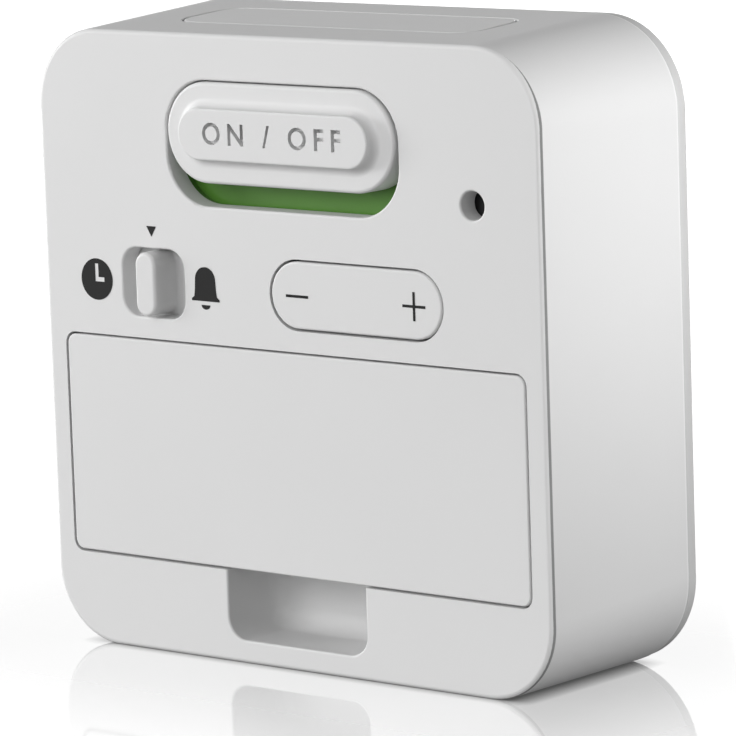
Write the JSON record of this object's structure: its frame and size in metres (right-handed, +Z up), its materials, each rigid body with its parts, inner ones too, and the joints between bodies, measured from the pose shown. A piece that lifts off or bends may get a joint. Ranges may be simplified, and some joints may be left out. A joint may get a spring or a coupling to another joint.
{
  "type": "talking clock",
  "caption": "Small square desk alarm clock with a talk and snooze bar on top, alarm slide, mode selector, set rocker and battery door on its back.",
  "frame": {"origin": "under the middle of the clock, on the surface that it stands on", "axes": "+Z up, +Y out of the back with the controls and battery door, +X to the right of someone who reads the display"},
  "size_m": [0.073, 0.0252, 0.0704],
  "materials": {
    "case_grey": "fine matt moulded finish",
    "key_grey": "fine matt moulded finish",
    "green_lining": "satin",
    "clear_window": "polished",
    "mask_black": "printed film",
    "lcd_glass": "polished with polariser film",
    "light_guide": "polished",
    "lamp_white": "gloss",
    "inner_white": "matt",
    "rubber_grey": "matt",
    "foam_black": "foam",
    "board_green": "solder mask",
    "resin_black": "matt",
    "steel": "plated",
    "pin_brass": "plated",
    "can_aluminium": "sleeved can",
    "cone_film": "pressed film",
    "magnet_iron": "plated",
    "cell_jacket": "printed sleeve on a metal can",
    "contact_nickel": "nickel plated"
  },
  "bodies": {
    "clock_case": {"rear_housing": "case_grey", "front_frame": "case_grey", "alarm_track": "green_lining", "display_window": "clear_window", "window_mask": "mask_black", "lcd_front_glass": "lcd_glass", "lcd_rear_glass": "lcd_glass", "light_guide": "light_guide", "backlight_lamps": "lamp_white", "lcd_holder": "inner_white", "talk_switch": "inner_white", "link_header": "inner_white", "contact_strips": "rubber_grey", "rocker_keypad": "rubber_grey", "bar_return_domes": "rubber_grey", "speaker_gasket": "foam_black", "main_board": "board_green", "switch_board": "board_green", "voice_chip": "resin_black", "clock_chip": "resin_black", "main_board_screws": "steel", "switch_board_screws": "steel", "crystal_can": "steel", "alarm_switch_case": "steel", "selector_switch_case": "steel", "speaker_basket": "steel", "link_pins": "pin_brass", "speaker_leads": "pin_brass", "capacitors": "can_aluminium", "speaker_cone": "cone_film", "speaker_magnet": "magnet_iron", "upper_cell": "cell_jacket", "lower_cell": "cell_jacket", "bridge_contact": "contact_nickel", "positive_contact": "contact_nickel", "negative_contact": "contact_nickel", "battery_springs": "contact_nickel"},
    "alarm_slider": {"alarm_slide": "key_grey", "alarm_switch_lever": "resin_black"},
    "mode_selector": {"selector_knob": "key_grey", "selector_switch_lever": "resin_black"},
    "set_rocker": {"rocker_key": "key_grey"},
    "top_bar": {"talk_bar": "key_grey", "talk_stem": "resin_black"},
    "door": {"battery_door": "case_grey"}
  },
  "joints": [
    {"name": "alarm_slide_travel", "type": "slide", "parent": "clock_case", "child": "alarm_slider", "axis": [0, 0, 1], "range_m": [-0.0024, 0]},
    {"name": "mode_selector_travel", "type": "slide", "parent": "clock_case", "child": "mode_selector", "axis": [1, 0, 0], "range_m": [-0.0022, 0.0022]},
    {"name": "set_rocker_tilt", "type": "hinge", "parent": "clock_case", "child": "set_rocker", "pos_m": [-0.0098, 0.00765, 0.0413], "axis": [0, 0, 1], "range_deg": [-2.5, 2.5], "stiffness_Nm_per_rad": 0.1, "deforming": ["rocker_keypad"]},
    {"name": "talk_bar_press", "type": "slide", "parent": "clock_case", "child": "top_bar", "axis": [0, 0, 1], "range_m": [-0.0007, 0], "stiffness_N_per_m": 600, "springref_m": 0.0004, "deforming": ["bar_return_domes"]},
    {"name": "battery_door_swing", "type": "hinge", "parent": "clock_case", "child": "door", "pos_m": [0, 0.0111, 0.0351], "axis": [1, 0, 0], "range_deg": [0, 70]}
  ]
}
